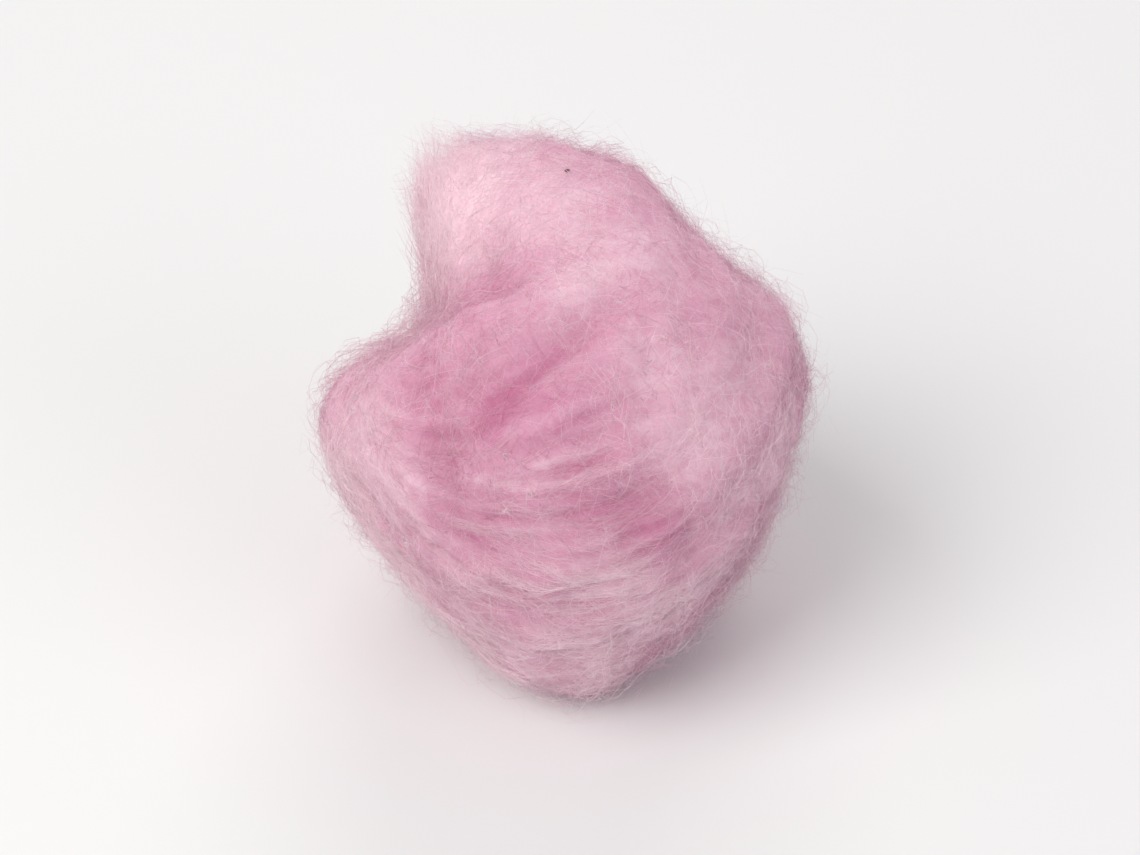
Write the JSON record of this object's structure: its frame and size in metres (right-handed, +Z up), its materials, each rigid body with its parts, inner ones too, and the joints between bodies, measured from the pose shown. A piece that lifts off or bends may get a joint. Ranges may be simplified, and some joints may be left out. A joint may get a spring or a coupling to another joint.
{
  "type": "cotton ball",
  "caption": "Soft cotton ball, one rolled puff of loose fibre with folds, a lifted tuft and a soft flat spot underneath, for dabbing, padding, wiping or craft work.",
  "frame": {"origin": "middle of the bottom of the ball's box, on the level that the flat spot rests on", "axes": "+Z up, away from the flat spot. -Y towards the side that shows the roll fold and the tuft, which leans back by 38 degrees. +X to the right of that side, away from the left roll"},
  "size_m": [0.0314, 0.0324, 0.0318],
  "materials": {
    "cotton": "matte, fluffy"
  },
  "bodies": {
    "root": {"cotton_ball": "cotton"}
  },
  "joints": []
}
